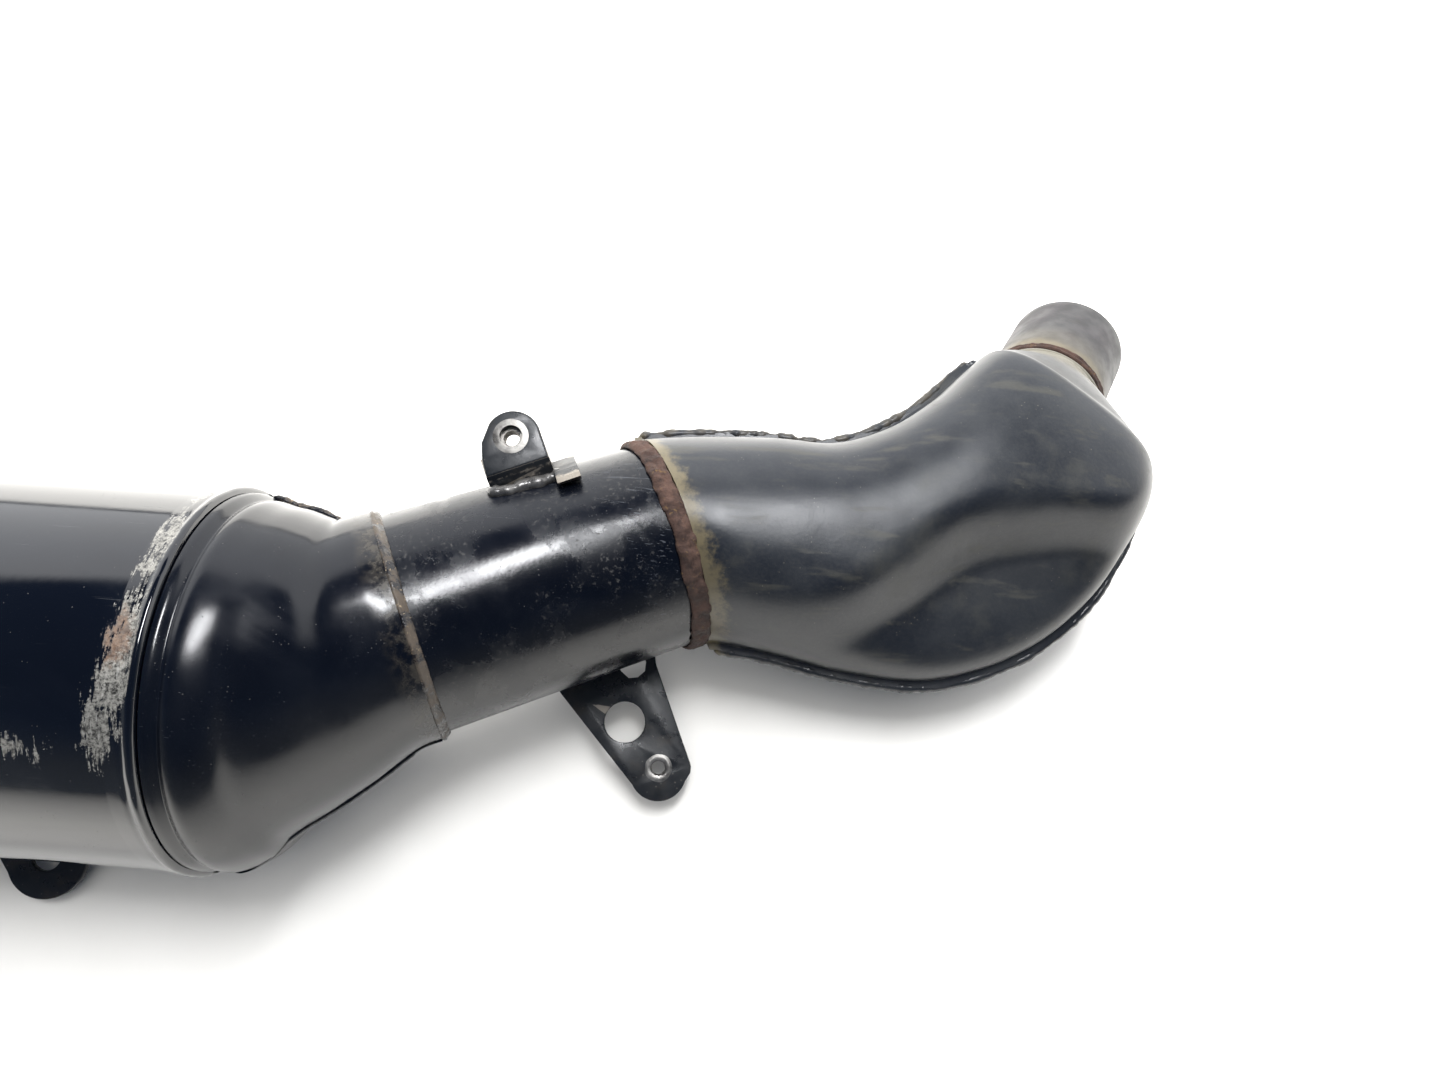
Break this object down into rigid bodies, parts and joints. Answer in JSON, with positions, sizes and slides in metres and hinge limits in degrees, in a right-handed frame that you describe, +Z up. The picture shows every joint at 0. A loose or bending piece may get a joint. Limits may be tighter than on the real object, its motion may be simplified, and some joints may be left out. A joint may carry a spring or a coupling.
{
  "type": "exhaust muffler",
  "caption": "Round canister muffler with a stepped cone, a fat catalyst link pipe, a two-shell welded elbow, a slanting inlet stub, two welded mounting brackets and a rear tab.",
  "frame": {"origin": "bottom centre of the bounding box, the level of the surface that the muffler lies on", "axes": "+X runs along the canister axis towards the inlet end, +Z is up as it lies on a bench, +Y is the side to which the link pipe and the inlet bend away"},
  "size_m": [0.7382, 0.2556, 0.1226],
  "materials": {
    "gloss_black": "gloss black enamel, scratched at the front rim",
    "satin_black": "satin black heat paint, dusty and greyed",
    "rusty_weld": "rusted weld bead",
    "stub_steel": "dull heat-stained steel with dust",
    "bracket_black": "worn black paint on stamped steel",
    "nut_steel": "dull weld-nut steel",
    "inner_steel": "plain sooted steel",
    "packing": "glass wool mat",
    "catalyst_foil": "coated metal foil honeycomb"
  },
  "bodies": {
    "root": {"body_shell": "gloss_black", "front_rim_ring": "gloss_black", "rear_rim_ring": "gloss_black", "packing_sleeve": "packing", "inner_liner": "inner_steel", "baffle_front": "inner_steel", "baffle_middle": "inner_steel", "baffle_rear": "inner_steel", "inlet_core_tube": "inner_steel", "return_tube": "inner_steel", "tail_tube": "gloss_black", "outlet_lip": "gloss_black", "end_cap": "gloss_black", "cone_upper_half": "gloss_black", "cone_lower_half": "gloss_black", "cone_seam_weld_far": "gloss_black", "cone_seam_weld_near": "gloss_black", "neck_weld_bead": "gloss_black", "link_pipe": "gloss_black", "catalyst_mat": "packing", "catalyst_brick": "catalyst_foil", "elbow_upper_half": "satin_black", "elbow_lower_half": "satin_black", "elbow_seam_weld_far": "satin_black", "elbow_seam_weld_near": "satin_black", "elbow_weld_ring": "rusty_weld", "inlet_tube": "stub_steel", "inlet_weld_ring": "rusty_weld", "upper_bracket": "bracket_black", "upper_bracket_nut": "nut_steel", "upper_bracket_weld": "bracket_black", "lower_bracket": "bracket_black", "lower_bracket_nut": "nut_steel", "rear_tab": "bracket_black"}
  },
  "joints": []
}
